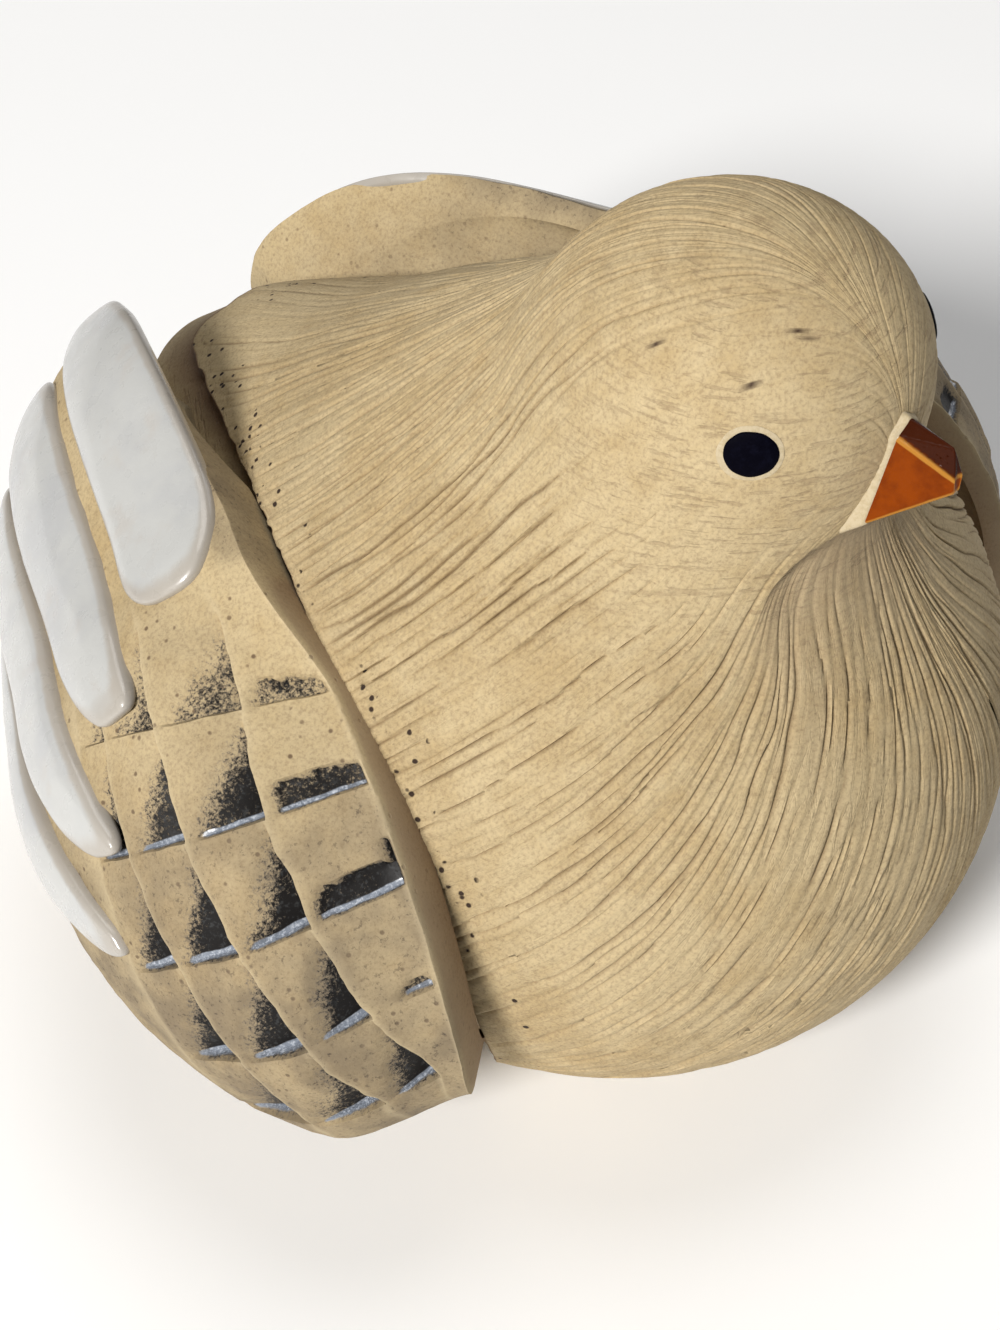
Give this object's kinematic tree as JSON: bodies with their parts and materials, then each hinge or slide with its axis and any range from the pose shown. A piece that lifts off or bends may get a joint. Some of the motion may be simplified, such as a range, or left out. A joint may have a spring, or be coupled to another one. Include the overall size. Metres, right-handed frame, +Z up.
{
  "type": "dove statue",
  "caption": "Hand-carved clay dove with a combed body, chip-carved wings, raised glazed feathers and a flat base.",
  "frame": {"origin": "middle of the figure's width, on the flat underside below the neck", "axes": "+Z up, -Y the way the beak points, +X the bird's left"},
  "size_m": [0.0944, 0.093, 0.0789],
  "materials": {
    "bisque_clay": "unglazed fired clay, combed and carved by hand",
    "white_enamel": "thick satin white glaze on the feathers",
    "dark_glaze": "glossy blue-black glaze pooled in the chips and on the eyes",
    "orange_glaze": "glossy orange glaze on the beak"
  },
  "bodies": {
    "root": {"dove": "bisque_clay"}
  },
  "joints": []
}
